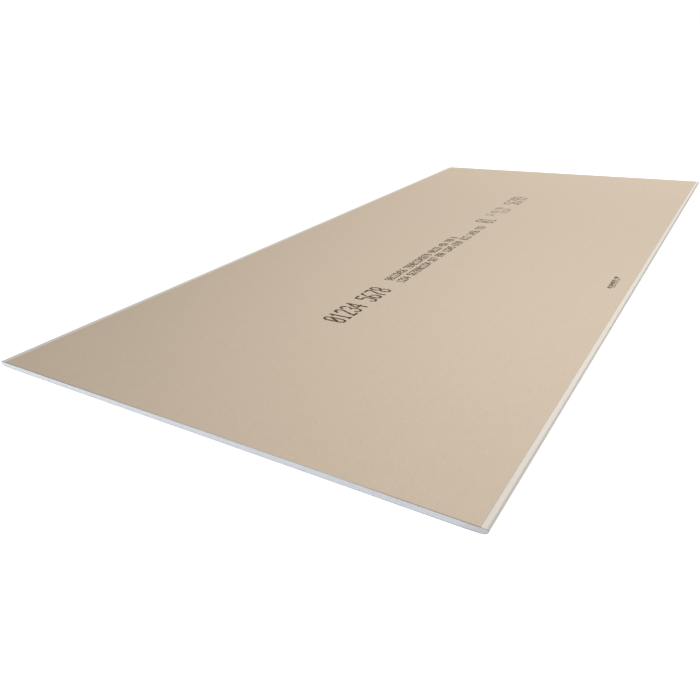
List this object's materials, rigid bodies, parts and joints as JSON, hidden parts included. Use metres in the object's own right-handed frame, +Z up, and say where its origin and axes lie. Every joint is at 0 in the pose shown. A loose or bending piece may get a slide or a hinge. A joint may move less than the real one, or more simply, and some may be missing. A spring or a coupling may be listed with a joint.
{
  "type": "drywall sheet",
  "caption": "Flat rectangular gypsum board with paper faces, half-round tapered long edges and square-cut ends, lying face down.",
  "frame": {"origin": "middle of the underside, which is the sheet's face, as it lies on a level floor", "axes": "+X along the sheet between its cut ends, +Y across it between its wrapped edges, +Z up through its thickness, from the face to the back"},
  "size_m": [2.5, 1.2, 0.0125],
  "materials": {
    "gypsum": "bare cut gypsum, matt and chalky",
    "face_liner": "ivory liner board, smooth and matt",
    "back_liner": "tan recycled liner board, matt with fine fibres"
  },
  "bodies": {
    "root": {"gypsum_core": "gypsum", "face_paper": "face_liner", "back_paper": "back_liner"}
  },
  "joints": []
}
